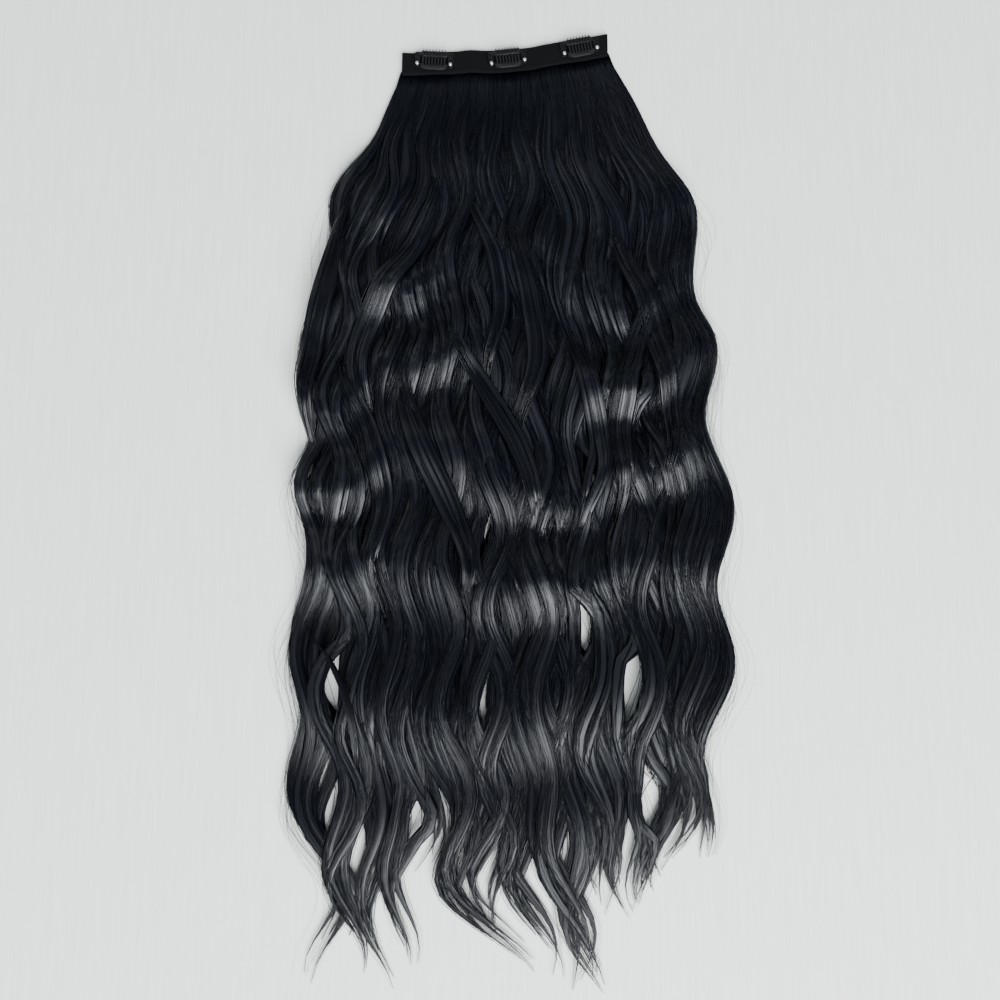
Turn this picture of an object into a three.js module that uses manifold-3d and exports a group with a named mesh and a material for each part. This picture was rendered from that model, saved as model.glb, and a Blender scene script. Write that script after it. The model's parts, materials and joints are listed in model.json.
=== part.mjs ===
// A clip in hair extension, lying flat on a table with its three clips facing up.
// Millimetres. +Z is up and +Y points from the hair's tips to the tape's folded edge.
// The origin is the middle of the footprint, on the table.

import * as THREE from 'three';
import Module from 'manifold-3d';

const wasm = await Module();
wasm.setup();

// Gap between pieces that seat on each other
const seatGap = 0.3;

// Cotton tape, folded over the hair's roots and open at its lower edge
const tapeLength = 168;
const tapeHeight = 20;
const tapeWall = 1;
const foldBevel = 0.8;
const tapeSteps = 24;
const slopeReach = 1;

// Between the clips the tape lifts a little off the table
const tapeLift = 1;
const liftRun = 15;
const flatBesideClip = 1.5;

// Bend of the tape in the table's plane.
// along is a share of half its length from the middle, rise a share of its whole length.
const tapeBend = [
  { along: -1, rise: -0.018 },
  { along: -0.69, rise: -0.012 },
  { along: -0.35, rise: -0.006 },
  { along: 0.03, rise: 0 },
  { along: 0.35, rise: 0.021 },
  { along: 0.6, rise: 0.048 },
  { along: 0.8, rise: 0.063 },
  { along: 1, rise: 0.083 },
];

// Stitched roots: a flat strip in the fold that every lock grows out of
const rootThickness = 1.2;
const rootOverhang = 5;
const lockStart = 2.5;

// Hair, measured from the tape's open edge
const hairLength = 696;
const hairHalfWidth = 170;
const lockWidth = 30;
const lockThickness = 10;
const layerLift = 5;
const growRun = 110;
const lockSteps = 24;

// Waves: sway is sideways, height is up from the table
const waveLength = 116;
const waveSway = 5;
const waveHeight = 3.5;

// Where the locks' places are read off, as shares of the hair's length
const stations = { high: 0.16, upper: 0.34, middle: 0.52, lower: 0.69, low: 0.85, end: 0.91 };
const lastStationGap = 0.03;

// One row for each lock, from left to right. The places are shares of the half width,
// reach is a share of the hair's length, wide of a lock's width, and layer 1 rides on layer 0.
// phase is in turns of the wave.
const locks = [
  { high: -0.69, upper: -0.9, middle: -0.86, lower: -0.87, low: -0.83, end: -0.73, tip: -0.79, reach: 0.98, wide: 1, layer: 0, phase: 0 },
  { high: -0.58, upper: -0.75, middle: -0.71, lower: -0.69, low: -0.68, end: -0.67, tip: -0.6, reach: 0.98, wide: 1, layer: 1, phase: 0.1 },
  { high: -0.49, upper: -0.62, middle: -0.59, lower: -0.56, low: -0.58, end: -0.56, tip: -0.53, reach: 1, wide: 1, layer: 0, phase: 0.95 },
  { high: -0.39, upper: -0.49, middle: -0.48, lower: -0.47, low: -0.46, end: -0.46, tip: -0.44, reach: 0.97, wide: 0.9, layer: 1, phase: 0.05 },
  { high: -0.31, upper: -0.38, middle: -0.37, lower: -0.38, low: -0.34, end: -0.36, tip: -0.4, reach: 0.9, wide: 0.9, layer: 0, phase: 0.9 },
  { high: -0.24, upper: -0.28, middle: -0.27, lower: -0.28, low: -0.22, end: -0.2, tip: 0.1, reach: 0.99, wide: 1, layer: 1, phase: 0 },
  { high: -0.17, upper: -0.19, middle: -0.18, lower: -0.18, low: -0.13, end: -0.13, tip: -0.11, reach: 0.95, wide: 0.9, layer: 0, phase: 0.1 },
  { high: -0.09, upper: -0.09, middle: -0.08, lower: -0.08, low: -0.05, end: -0.07, tip: 0.04, reach: 0.97, wide: 1, layer: 1, phase: 0.95 },
  { high: -0.01, upper: 0, middle: 0.02, lower: 0.03, low: 0.05, end: 0.08, tip: 0.21, reach: 0.99, wide: 1, layer: 0, phase: 0.05 },
  { high: 0.07, upper: 0.1, middle: 0.13, lower: 0.14, low: 0.17, end: 0.23, tip: 0.34, reach: 1, wide: 1, layer: 1, phase: 0.1 },
  { high: 0.15, upper: 0.2, middle: 0.23, lower: 0.25, low: 0.3, end: 0.35, tip: 0.42, reach: 1, wide: 0.9, layer: 0, phase: 0.9 },
  { high: 0.24, upper: 0.3, middle: 0.32, lower: 0.37, low: 0.39, end: 0.45, tip: 0.48, reach: 0.95, wide: 0.9, layer: 1, phase: 0 },
  { high: 0.33, upper: 0.41, middle: 0.46, lower: 0.47, low: 0.46, end: 0.53, tip: 0.56, reach: 0.95, wide: 0.9, layer: 0, phase: 0.05 },
  { high: 0.43, upper: 0.51, middle: 0.56, lower: 0.6, low: 0.57, end: 0.6, tip: 0.61, reach: 0.94, wide: 1, layer: 1, phase: 0.95 },
  { high: 0.54, upper: 0.62, middle: 0.67, lower: 0.7, low: 0.68, end: 0.64, tip: 0.62, reach: 0.94, wide: 0.9, layer: 0, phase: 0.1 },
  { high: 0.65, upper: 0.73, middle: 0.78, lower: 0.79, low: 0.76, end: 0.72, tip: 0.69, reach: 0.9, wide: 1, layer: 1, phase: 0 },
  { high: 0.77, upper: 0.85, middle: 0.91, lower: 0.9, low: 0.84, end: 0.86, tip: 0.88, reach: 0.89, wide: 0.8, layer: 0, phase: 0.05 },
];

// How a lock narrows and thins along its own length
const lockTaper = [
  { along: 0, wide: 1, thick: 1 },
  { along: 0.55, wide: 1, thick: 1 },
  { along: 0.8, wide: 0.85, thick: 0.8 },
  { along: 0.93, wide: 0.6, thick: 0.5 },
  { along: 1, wide: 0.12, thick: 0.12 },
];

// A lock's cross section: sideways in half widths, up in thicknesses
const lockSection = [
  { side: -1, up: 0 },
  { side: 1, up: 0 },
  { side: 0.45, up: 1 },
  { side: -0.45, up: 1 },
];

// Clips, from left to right: along in half tape lengths, turn in degrees off the tape's slope
const clips = [
  { along: -0.69, turn: -5 },
  { along: 0.03, turn: 2 },
  { along: 0.735, turn: 3 },
];
const rivetDrop = 12.5;

// Clip frame: a pressed plate shaped like an upside-down U
const rivetSpacing = 27;
const armWidth = 4;
const barDistance = 9;
const barHeight = 3;
const barCorner = 0.8;
const frameThickness = 0.6;
const sewHoleRadius = 0.55;
const sewHoleHeights = [4.2, 8.4];

// Silicone sleeve on the frame's top bar
const sleeveWall = 0.6;
const sleeveEndGap = 1;

// Rivets
const shankRadius = 0.7;
const tailRadius = 1.6;
const tailThickness = 0.6;
const headRadius = 1.5;
const headHeight = 1;
const headShoulder = 0.75;

// Comb: the band is clamped by its eyes and bows up between them
const combThickness = 0.5;
const eyeRadius = 2;
const bandWidth = 4;
const bandEndDrop = 1.5;
const bandMiddleDrop = 4.2;
const bandArchHeight = 2.2;
const bandFlatness = 5;
const bandSteps = 10;
const toothCount = 8;
const toothPitch = 2.5;
const toothWidth = 1.3;
const toothTipShare = 0.55;
const tipReach = 1.4;
const tipDip = 0.6;

// Heights above the tape's upper face, each seated on the one before
const tailTop = seatGap + tailThickness;
const frameBottom = tailTop + seatGap;
const frameTop = frameBottom + frameThickness;
const frameMiddle = (frameBottom + frameTop) / 2;
const eyeBottom = frameTop + seatGap;
const eyeTop = eyeBottom + combThickness;
const pivotHeight = (eyeBottom + eyeTop) / 2;
const headBottom = eyeTop + seatGap;
const sleeveTop = frameTop + seatGap + sleeveWall;

const slotHeight = rootThickness + 2 * seatGap;
const tapeThickness = slotHeight + 2 * tapeWall;
const clipHalfWidth = (rivetSpacing + armWidth) / 2;
const holeRadius = shankRadius + seatGap;

const tapeCloth = new THREE.MeshStandardMaterial({ color: 0x101013, roughness: 0.95, metalness: 0 });
const hairFibre = new THREE.MeshStandardMaterial({ color: 0x0c0e14, roughness: 0.42, metalness: 0 });
const paintedSteel = new THREE.MeshStandardMaterial({ color: 0x1b1b1e, roughness: 0.38, metalness: 0.6 });
const silicone = new THREE.MeshStandardMaterial({ color: 0x08080a, roughness: 0.22, metalness: 0 });
const nickel = new THREE.MeshStandardMaterial({ color: 0xc9c9c6, roughness: 0.25, metalness: 1 });

// A smooth curve through two columns of a table
function curveThrough(rows, from, to) {
  const places = rows.map((row) => row[from]);
  const values = rows.map((row) => row[to]);
  const interpolant = new THREE.CubicInterpolant(places, values, 1);
  return (place) => interpolant.evaluate(place)[0];
}

function roundedRamp(value, run) {
  return THREE.MathUtils.smoothstep(value, 0, run);
}

function signedVolume(geometry) {
  const position = geometry.getAttribute('position');
  const index = geometry.getIndex();
  const corners = [new THREE.Vector3(), new THREE.Vector3(), new THREE.Vector3()];
  let volume = 0;
  for (let face = 0; face < index.count; face += 3) {
    corners.forEach((corner, k) => corner.fromBufferAttribute(position, index.getX(face + k)));
    volume += corners[0].dot(corners[1].cross(corners[2])) / 6;
  }
  return volume;
}

// A closed body through sections with the same number of corners, capped at both ends.
// place(step, corner) puts a section's corner in space.
function loft(sections, place) {
  const count = sections[0].length;
  const positions = [];
  const faces = [];
  sections.forEach((section, step) => {
    section.forEach((corner) => positions.push(...place(step, corner).toArray()));
  });
  for (let step = 0; step < sections.length - 1; step += 1) {
    for (let k = 0; k < count; k += 1) {
      const here = step * count + k;
      const beside = step * count + ((k + 1) % count);
      faces.push(here, beside, beside + count);
      faces.push(here, beside + count, here + count);
    }
  }
  const last = (sections.length - 1) * count;
  for (const [a, b, c] of THREE.ShapeUtils.triangulateShape(sections[0], [])) {
    faces.push(a, c, b);
  }
  for (const [a, b, c] of THREE.ShapeUtils.triangulateShape(sections.at(-1), [])) {
    faces.push(last + a, last + b, last + c);
  }
  const geometry = new THREE.BufferGeometry();
  geometry.setAttribute('position', new THREE.Float32BufferAttribute(positions, 3));
  geometry.setIndex(faces);
  if (signedVolume(geometry) < 0) {
    geometry.setIndex(faces.reverse());
  }
  geometry.computeVertexNormals();
  return geometry;
}

function toSolid(geometry) {
  return new wasm.Manifold(new wasm.Mesh({
    numProp: 3,
    vertProperties: new Float32Array(geometry.getAttribute('position').array),
    triVerts: new Uint32Array(geometry.getIndex().array),
  }));
}

// Joins lofted bodies that overlap into one, without the sealed pockets between them
function fuse(geometries) {
  const whole = geometries.map(toSolid).reduce((joined, solid) => joined.add(solid));
  const [outer] = whole.decompose().sort((a, b) => b.volume() - a.volume());
  const mesh = outer.getMesh();
  const geometry = new THREE.BufferGeometry();
  geometry.setAttribute('position', new THREE.BufferAttribute(mesh.vertProperties, 3));
  geometry.setIndex(new THREE.BufferAttribute(mesh.triVerts, 1));
  geometry.computeVertexNormals();
  return geometry;
}

function piece(name, geometry, material) {
  const mesh = new THREE.Mesh(geometry, material);
  mesh.name = name;
  return mesh;
}

const riseOf = curveThrough(tapeBend, 'along', 'rise');

// How far the tape's folded edge stands from its middle, towards +Y
function tapeRise(x) {
  const along = THREE.MathUtils.clamp(x / (tapeLength / 2), -1, 1);
  return riseOf(along) * tapeLength;
}

// How far the tape lifts off the table
function tapeLiftAt(x) {
  const distances = clips.map((clip) => Math.abs(x - clip.along * tapeLength / 2));
  const past = Math.min(...distances) - clipHalfWidth - flatBesideClip;
  return tapeLift * roundedRamp(past, liftRun);
}

// Rectangle with its lower left corner at (y, z), in the plane across X
function rectangle(y, z, width, height) {
  return [
    new THREE.Vector2(y, z),
    new THREE.Vector2(y + width, z),
    new THREE.Vector2(y + width, z + height),
    new THREE.Vector2(y, z + height),
  ];
}

// A body with one section that follows the tape from end to end
function alongTape(section) {
  const sections = Array.from({ length: tapeSteps + 1 }, () => section);
  return loft(sections, (step, corner) => {
    const x = tapeLength * (step / tapeSteps - 0.5);
    return new THREE.Vector3(x, tapeRise(x) + corner.x, tapeLiftAt(x) + corner.y);
  });
}

function tapeGeometry() {
  const outline = [
    [-tapeHeight, 0],
    [-foldBevel, 0],
    [0, foldBevel],
    [0, tapeThickness - foldBevel],
    [-foldBevel, tapeThickness],
    [-tapeHeight, tapeThickness],
    [-tapeHeight, tapeThickness - tapeWall],
    [-tapeWall, tapeThickness - tapeWall],
    [-tapeWall, tapeWall],
    [-tapeHeight, tapeWall],
  ];
  return alongTape(outline.map(([y, z]) => new THREE.Vector2(y, z)));
}

const rootBottom = tapeWall + seatGap;

function rootGeometry() {
  const depth = tapeHeight - tapeWall - seatGap + rootOverhang;
  return alongTape(rectangle(-tapeHeight - rootOverhang, rootBottom, depth, rootThickness));
}

const taperWide = curveThrough(lockTaper, 'along', 'wide');
const taperThick = curveThrough(lockTaper, 'along', 'thick');

// A lock runs from the roots to its tip, widening as it leaves the tape
function lockGeometry(lock, order) {
  const rootPitch = tapeLength / locks.length;
  const rootPlace = (order + 0.5) * rootPitch - tapeLength / 2;
  const passed = Object.keys(stations).filter((name) => stations[name] + lastStationGap < lock.reach);
  const route = curveThrough([
    { along: 0, side: rootPlace },
    ...passed.map((name) => ({ along: stations[name], side: lock[name] * hairHalfWidth })),
    { along: lock.reach, side: lock.tip * hairHalfWidth },
  ], 'along', 'side');
  const reach = lock.reach * hairLength;
  const sections = [];
  const places = [];
  for (let step = 0; step <= lockSteps; step += 1) {
    const share = step / lockSteps;
    const distance = THREE.MathUtils.lerp(lockStart, reach, share);
    const grown = roundedRamp(distance - lockStart, growRun);
    const wave = (distance / waveLength + lock.phase) * 2 * Math.PI;
    const settle = 1 - share ** 4;
    const sway = waveSway * grown * settle * Math.cos(wave);
    const halfWidth = THREE.MathUtils.lerp(rootPitch * 0.6, lockWidth * lock.wide / 2, grown) * taperWide(share);
    const thickness = THREE.MathUtils.lerp(rootThickness * 0.8, lockThickness * taperThick(share), grown);
    const floor = (lock.layer * layerLift + waveHeight * (1 + Math.sin(wave))) * settle;
    sections.push(lockSection.map(({ side, up }) => new THREE.Vector2(side * halfWidth, up * thickness)));
    places.push({
      x: route(distance / hairLength) + sway,
      y: -tapeHeight - distance,
      z: THREE.MathUtils.lerp(rootBottom + 0.1 * rootThickness + tapeLiftAt(rootPlace), floor, grown),
      bend: 1 - grown,
    });
  }
  return loft(sections, (step, corner) => {
    const { x, y, z, bend } = places[step];
    return new THREE.Vector3(x + corner.x, y + bend * tapeRise(rootPlace + corner.x), z + corner.y);
  });
}

function hairGeometry() {
  return fuse([rootGeometry(), ...locks.map(lockGeometry)]);
}

function roundHole(x, y, radius) {
  const hole = new THREE.Path();
  hole.absarc(x, y, radius, 0, 2 * Math.PI, false);
  return hole;
}

function frameGeometry() {
  const foot = rivetSpacing / 2;
  const inner = foot - armWidth / 2;
  const outer = foot + armWidth / 2;
  const barTop = barDistance + barHeight / 2;
  const shape = new THREE.Shape();
  shape.moveTo(-inner, barDistance - barHeight / 2);
  shape.lineTo(-inner, 0);
  shape.absarc(-foot, 0, armWidth / 2, 0, -Math.PI, true);
  shape.lineTo(-outer, barTop - barCorner);
  shape.lineTo(-outer + barCorner, barTop);
  shape.lineTo(outer - barCorner, barTop);
  shape.lineTo(outer, barTop - barCorner);
  shape.absarc(foot, 0, armWidth / 2, 0, -Math.PI, true);
  shape.lineTo(inner, barDistance - barHeight / 2);
  for (const side of [-foot, foot]) {
    shape.holes.push(roundHole(side, 0, holeRadius));
    sewHoleHeights.forEach((height) => shape.holes.push(roundHole(side, height, sewHoleRadius)));
  }
  const geometry = new THREE.ExtrudeGeometry(shape, {
    depth: frameThickness,
    bevelEnabled: false,
    curveSegments: 3,
  });
  return geometry.translate(0, 0, frameBottom);
}

// A tube with round edges over the bar, which passes through its flat bore
function sleeveGeometry() {
  const radius = frameThickness / 2 + seatGap + sleeveWall;
  const straight = barHeight / 2 + seatGap + sleeveWall - radius;
  const boreHalfWidth = barHeight / 2 + seatGap;
  const boreHalfHeight = frameThickness / 2 + seatGap;
  const shape = new THREE.Shape();
  shape.absarc(straight, 0, radius, -Math.PI / 2, Math.PI / 2, false);
  shape.absarc(-straight, 0, radius, Math.PI / 2, 1.5 * Math.PI, false);
  const bore = rectangle(-boreHalfWidth, -boreHalfHeight, 2 * boreHalfWidth, 2 * boreHalfHeight);
  shape.holes.push(new THREE.Path(bore));
  const length = rivetSpacing - armWidth - 2 * sleeveEndGap;
  const geometry = new THREE.ExtrudeGeometry(shape, {
    depth: length,
    bevelEnabled: false,
    curveSegments: 6,
  });
  geometry.translate(0, 0, -length / 2);
  geometry.applyMatrix4(new THREE.Matrix4().makeBasis(
    new THREE.Vector3(0, 1, 0),
    new THREE.Vector3(0, 0, 1),
    new THREE.Vector3(1, 0, 0),
  ));
  return geometry.translate(0, barDistance, frameMiddle);
}

function rivetGeometry() {
  const profile = [
    [0, seatGap],
    [tailRadius, seatGap],
    [tailRadius, tailTop],
    [shankRadius, tailTop],
    [shankRadius, headBottom],
    [headRadius, headBottom],
    [headRadius * headShoulder, headBottom + headHeight * headShoulder],
    [0, headBottom + headHeight],
  ];
  const points = profile.map(([radius, height]) => new THREE.Vector2(radius, height));
  return new THREE.LatheGeometry(points, 8).rotateX(Math.PI / 2);
}

function eyeGeometry() {
  const shape = new THREE.Shape();
  shape.absarc(0, 0, eyeRadius, 0, 2 * Math.PI, false);
  shape.holes.push(roundHole(0, 0, holeRadius));
  const geometry = new THREE.ExtrudeGeometry(shape, {
    depth: combThickness,
    bevelEnabled: false,
    curveSegments: 4,
  });
  return geometry.translate(0, 0, eyeBottom);
}

const bandReach = rivetSpacing / 2 - eyeRadius - seatGap;

// Middle of the comb's band at x
function bandMiddle(x) {
  const bow = 1 - Math.abs(x / bandReach) ** bandFlatness;
  return new THREE.Vector2(
    -THREE.MathUtils.lerp(bandEndDrop, bandMiddleDrop, bow),
    pivotHeight + bandArchHeight * bow,
  );
}

function bandGeometry() {
  const section = rectangle(-bandWidth / 2, -combThickness / 2, bandWidth, combThickness);
  const sections = Array.from({ length: bandSteps + 1 }, () => section);
  return loft(sections, (step, corner) => {
    const x = bandReach * (2 * step / bandSteps - 1);
    const middle = bandMiddle(x).add(corner);
    return new THREE.Vector3(x, middle.x, middle.y);
  });
}

// A tooth leaves the band, presses on the sleeve and bends down past it
function toothGeometry(x) {
  const sleeveHalfWidth = barHeight / 2 + seatGap + sleeveWall;
  const start = bandMiddle(x);
  const overSleeve = sleeveTop + seatGap + combThickness / 2;
  const far = barDistance + sleeveHalfWidth;
  const path = [
    { y: start.x, z: start.y, width: toothWidth },
    { y: barDistance, z: overSleeve, width: toothWidth },
    { y: far, z: overSleeve, width: toothWidth * 0.9 },
    { y: far + tipReach, z: pivotHeight - tipDip, width: toothWidth * toothTipShare },
  ];
  const sections = path.map(({ width }) => rectangle(-width / 2, -combThickness / 2, width, combThickness));
  return loft(sections, (step, corner) => (
    new THREE.Vector3(x + corner.x, path[step].y, path[step].z + corner.y)
  ));
}

function combGeometry() {
  const places = Array.from({ length: toothCount }, (_, k) => (k - (toothCount - 1) / 2) * toothPitch);
  return fuse([bandGeometry(), ...places.map(toothGeometry)]);
}

// One clip, with its own origin between the rivets on the tape's upper face
function clip(row, order) {
  const group = new THREE.Group();
  const name = `clip_${order + 1}`;
  group.add(piece(`${name}_frame`, frameGeometry(), paintedSteel));
  group.add(piece(`${name}_sleeve`, sleeveGeometry(), silicone));
  group.add(piece(`${name}_comb`, combGeometry(), paintedSteel));
  for (const [side, sign] of [['left', -1], ['right', 1]]) {
    const eye = piece(`${name}_${side}_eye`, eyeGeometry(), paintedSteel);
    const rivet = piece(`${name}_${side}_rivet`, rivetGeometry(), nickel);
    eye.position.x = sign * rivetSpacing / 2;
    rivet.position.x = sign * rivetSpacing / 2;
    group.add(eye, rivet);
  }
  const x = row.along * tapeLength / 2;
  const slope = Math.atan2(tapeRise(x + slopeReach) - tapeRise(x - slopeReach), 2 * slopeReach);
  group.rotation.z = slope + THREE.MathUtils.degToRad(row.turn);
  group.position.set(x, tapeRise(x) - rivetDrop, tapeThickness);
  return group;
}

const extension = new THREE.Group();
extension.add(piece('hair', hairGeometry(), hairFibre));
extension.add(piece('tape', tapeGeometry(), tapeCloth));
extension.add(...clips.map(clip));

// Puts the origin in the middle of the footprint, on the table
const box = new THREE.Box3().setFromObject(extension, true);
const middle = box.getCenter(new THREE.Vector3());
extension.position.set(-middle.x, -middle.y, -box.min.z);

export default extension;
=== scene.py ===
import json
import math

import bmesh
import bpy
import numpy as np
from mathutils import Matrix, Vector

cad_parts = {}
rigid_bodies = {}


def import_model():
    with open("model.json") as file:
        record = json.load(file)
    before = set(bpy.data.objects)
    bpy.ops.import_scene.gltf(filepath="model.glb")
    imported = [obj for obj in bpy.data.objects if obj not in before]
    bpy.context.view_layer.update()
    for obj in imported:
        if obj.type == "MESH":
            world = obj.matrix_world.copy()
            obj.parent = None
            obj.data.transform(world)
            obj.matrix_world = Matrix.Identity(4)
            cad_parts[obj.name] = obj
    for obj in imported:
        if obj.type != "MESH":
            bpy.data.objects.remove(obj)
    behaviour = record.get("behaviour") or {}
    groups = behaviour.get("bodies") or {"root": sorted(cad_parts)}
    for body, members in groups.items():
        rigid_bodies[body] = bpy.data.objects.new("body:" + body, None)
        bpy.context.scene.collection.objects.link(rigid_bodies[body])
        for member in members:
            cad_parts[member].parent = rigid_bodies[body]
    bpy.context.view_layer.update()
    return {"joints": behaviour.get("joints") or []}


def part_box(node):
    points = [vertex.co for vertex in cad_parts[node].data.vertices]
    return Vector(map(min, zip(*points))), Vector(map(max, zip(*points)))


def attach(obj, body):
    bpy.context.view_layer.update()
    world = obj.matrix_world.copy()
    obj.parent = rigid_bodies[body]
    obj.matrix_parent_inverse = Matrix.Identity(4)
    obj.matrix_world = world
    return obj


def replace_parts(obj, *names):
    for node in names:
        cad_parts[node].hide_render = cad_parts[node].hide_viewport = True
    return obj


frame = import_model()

rng = np.random.default_rng(41)
mm = 0.001
turn = 2 * math.pi


# small helpers for shapes

def batten(places, values):
    # a smooth curve through a short table
    places = np.array(places, float)
    values = np.array(values, float)
    slopes = np.gradient(values, places)

    def at(x):
        x = np.clip(x, places[0], places[-1])
        k = np.clip(np.searchsorted(places, x, side="right") - 1, 0, len(places) - 2)
        run = places[k + 1] - places[k]
        t = (x - places[k]) / run
        a, b = values[k], values[k + 1]
        m, n = slopes[k] * run, slopes[k + 1] * run
        return a + t * (m + t * (3 * (b - a) - 2 * m - n + t * (2 * (a - b) + m + n)))

    return at


def ramp(x, run):
    t = np.clip(x / run, 0, 1)
    return t * t * (3 - 2 * t)


def mix(a, b, t):
    return a + (b - a) * t


def linked(name, mesh, material, body):
    mesh.materials.append(material)
    mesh.shade_smooth()
    piece = bpy.data.objects.new(name, mesh)
    bpy.context.scene.collection.objects.link(piece)
    if body:
        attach(piece, body)
    return piece


def faceOut(mesh):
    solid = bmesh.new()
    solid.from_mesh(mesh)
    bmesh.ops.recalc_face_normals(solid, faces=solid.faces)
    solid.to_mesh(mesh)
    solid.free()


def meshPiece(name, verts, faces, material, body="root", place=None, turnOut=False):
    # faces is one array for each number of corners
    mesh = bpy.data.meshes.new(name)
    verts = np.asarray(verts, float)
    if place is not None:
        verts = verts @ np.array(place.to_3x3()).T + np.array(place.translation)
    faces = [np.asarray(part) for part in faces]
    mesh.vertices.add(len(verts))
    mesh.vertices.foreach_set("co", verts.astype(np.float32).ravel())
    loops = np.concatenate([part.ravel() for part in faces])
    corners = np.concatenate([np.full(len(part), part.shape[1]) for part in faces])
    mesh.loops.add(len(loops))
    mesh.loops.foreach_set("vertex_index", loops.astype(np.int32))
    mesh.polygons.add(len(corners))
    starts = np.concatenate([[0], np.cumsum(corners)[:-1]])
    mesh.polygons.foreach_set("loop_start", starts.astype(np.int32))
    mesh.update(calc_edges=True)
    mesh.validate()
    if turnOut:
        faceOut(mesh)
    return linked(name, mesh, material, body)


def tubes(paths, radii, sides, flat=1.0, turns=0.0):
    # closed tubes along many paths at once: paths is tubes x steps x 3, radii is tubes x steps
    # flat squeezes them towards the table, turns rolls each section
    count, steps = radii.shape
    ahead = np.gradient(paths, axis=1)
    ahead /= np.linalg.norm(ahead, axis=2, keepdims=True) + 1e-12
    up = np.where(np.abs(ahead[..., 2:]) > 0.9, [1.0, 0.0, 0.0], [0.0, 0.0, 1.0])
    across = np.cross(ahead, up)
    across /= np.linalg.norm(across, axis=2, keepdims=True) + 1e-12
    over = np.cross(across, ahead)
    roll = np.broadcast_to(np.asarray(turns, float).reshape(-1, 1), (count, 1))
    ring = []
    for k in range(sides):
        angle = roll + turn * k / sides
        sideways = (np.cos(angle) * radii)[..., None]
        height = (np.sin(angle) * radii * flat)[..., None]
        ring.append(paths + across * sideways + over * height)
    verts = np.stack(ring, axis=2).reshape(-1, 3)
    first = (np.arange(count)[:, None, None] * steps + np.arange(steps - 1)[None, :, None]) * sides
    k = np.arange(sides)[None, None, :]
    here = first + k
    beside = first + (k + 1) % sides
    walls = np.stack([here, here + sides, beside + sides, beside], axis=-1).reshape(-1, 4)
    starts = np.arange(count)[:, None] * steps * sides + np.arange(sides)[None, :]
    ends = (np.arange(count)[:, None] + 1) * steps * sides - sides + np.arange(sides)[None, ::-1]
    return verts, [walls, np.concatenate([starts, ends])]


def rings(sections, closed=False):
    # skin over sections that have the same number of points, capped unless it closes on itself
    sections = np.asarray(sections, float)
    count, sides = sections.shape[:2]
    walls = []
    for step in range(count if closed else count - 1):
        here = step * sides
        there = (step + 1) % count * sides
        for k in range(sides):
            beside = (k + 1) % sides
            walls.append((here + k, here + beside, there + beside, there + k))
    faces = [np.array(walls)]
    if not closed:
        last = (count - 1) * sides
        faces.append(np.array([list(range(sides))[::-1], [last + k for k in range(sides)]]))
    return sections.reshape(-1, 3), faces


def lathe(profile, segments):
    # a closed profile of (radius, height) turned about Z
    sections = []
    for k in range(segments):
        angle = turn * k / segments
        sections.append([(r * math.cos(angle), r * math.sin(angle), h) for r, h in profile])
    return rings(sections, closed=True)


def joined(parts):
    verts, faces, base = [], {}, 0
    for partVerts, partFaces in parts:
        for part in partFaces:
            part = np.asarray(part)
            faces.setdefault(part.shape[1], []).append(part + base)
        verts.append(partVerts)
        base += len(partVerts)
    return np.concatenate(verts), [np.concatenate(faces[size]) for size in faces]


def pointValues(piece, name, values):
    attribute = piece.data.attributes.new(name, "FLOAT", "POINT")
    attribute.data.foreach_set("value", np.asarray(values, np.float32).ravel())


# shader parts

def newGroup(name, inputs, outputs):
    group = bpy.data.node_groups.new(name, "ShaderNodeTree")
    for label, kind, value in inputs:
        socket = group.interface.new_socket(name=label, in_out="INPUT", socket_type=kind)
        socket.default_value = value
    for label, kind in outputs:
        group.interface.new_socket(name=label, in_out="OUTPUT", socket_type=kind)
    return group, group.nodes.new("NodeGroupInput"), group.nodes.new("NodeGroupOutput")


def addNode(tree, kind, **settings):
    node = tree.nodes.new(kind)
    for key, value in settings.items():
        setattr(node, key, value)
    return node


def mathNode(tree, operation, a, b):
    node = addNode(tree, "ShaderNodeMath", operation=operation)
    for socket, value in zip(node.inputs, (a, b)):
        if isinstance(value, (int, float)):
            socket.default_value = value
        else:
            tree.links.new(value, socket)
    return node.outputs[0]


def noiseNode(tree, vector, scale, detail=3.0, roughness=0.5):
    node = addNode(tree, "ShaderNodeTexNoise")
    node.inputs["Scale"].default_value = scale
    node.inputs["Detail"].default_value = detail
    node.inputs["Roughness"].default_value = roughness
    tree.links.new(vector, node.inputs["Vector"])
    return node.outputs["Fac"]


def rangeNode(tree, value, low, high, toLow=0.0, toHigh=1.0):
    node = addNode(tree, "ShaderNodeMapRange")
    tree.links.new(value, node.inputs["Value"])
    for name, number in (("From Min", low), ("From Max", high), ("To Min", toLow), ("To Max", toHigh)):
        node.inputs[name].default_value = number
    return node.outputs["Result"]


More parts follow.
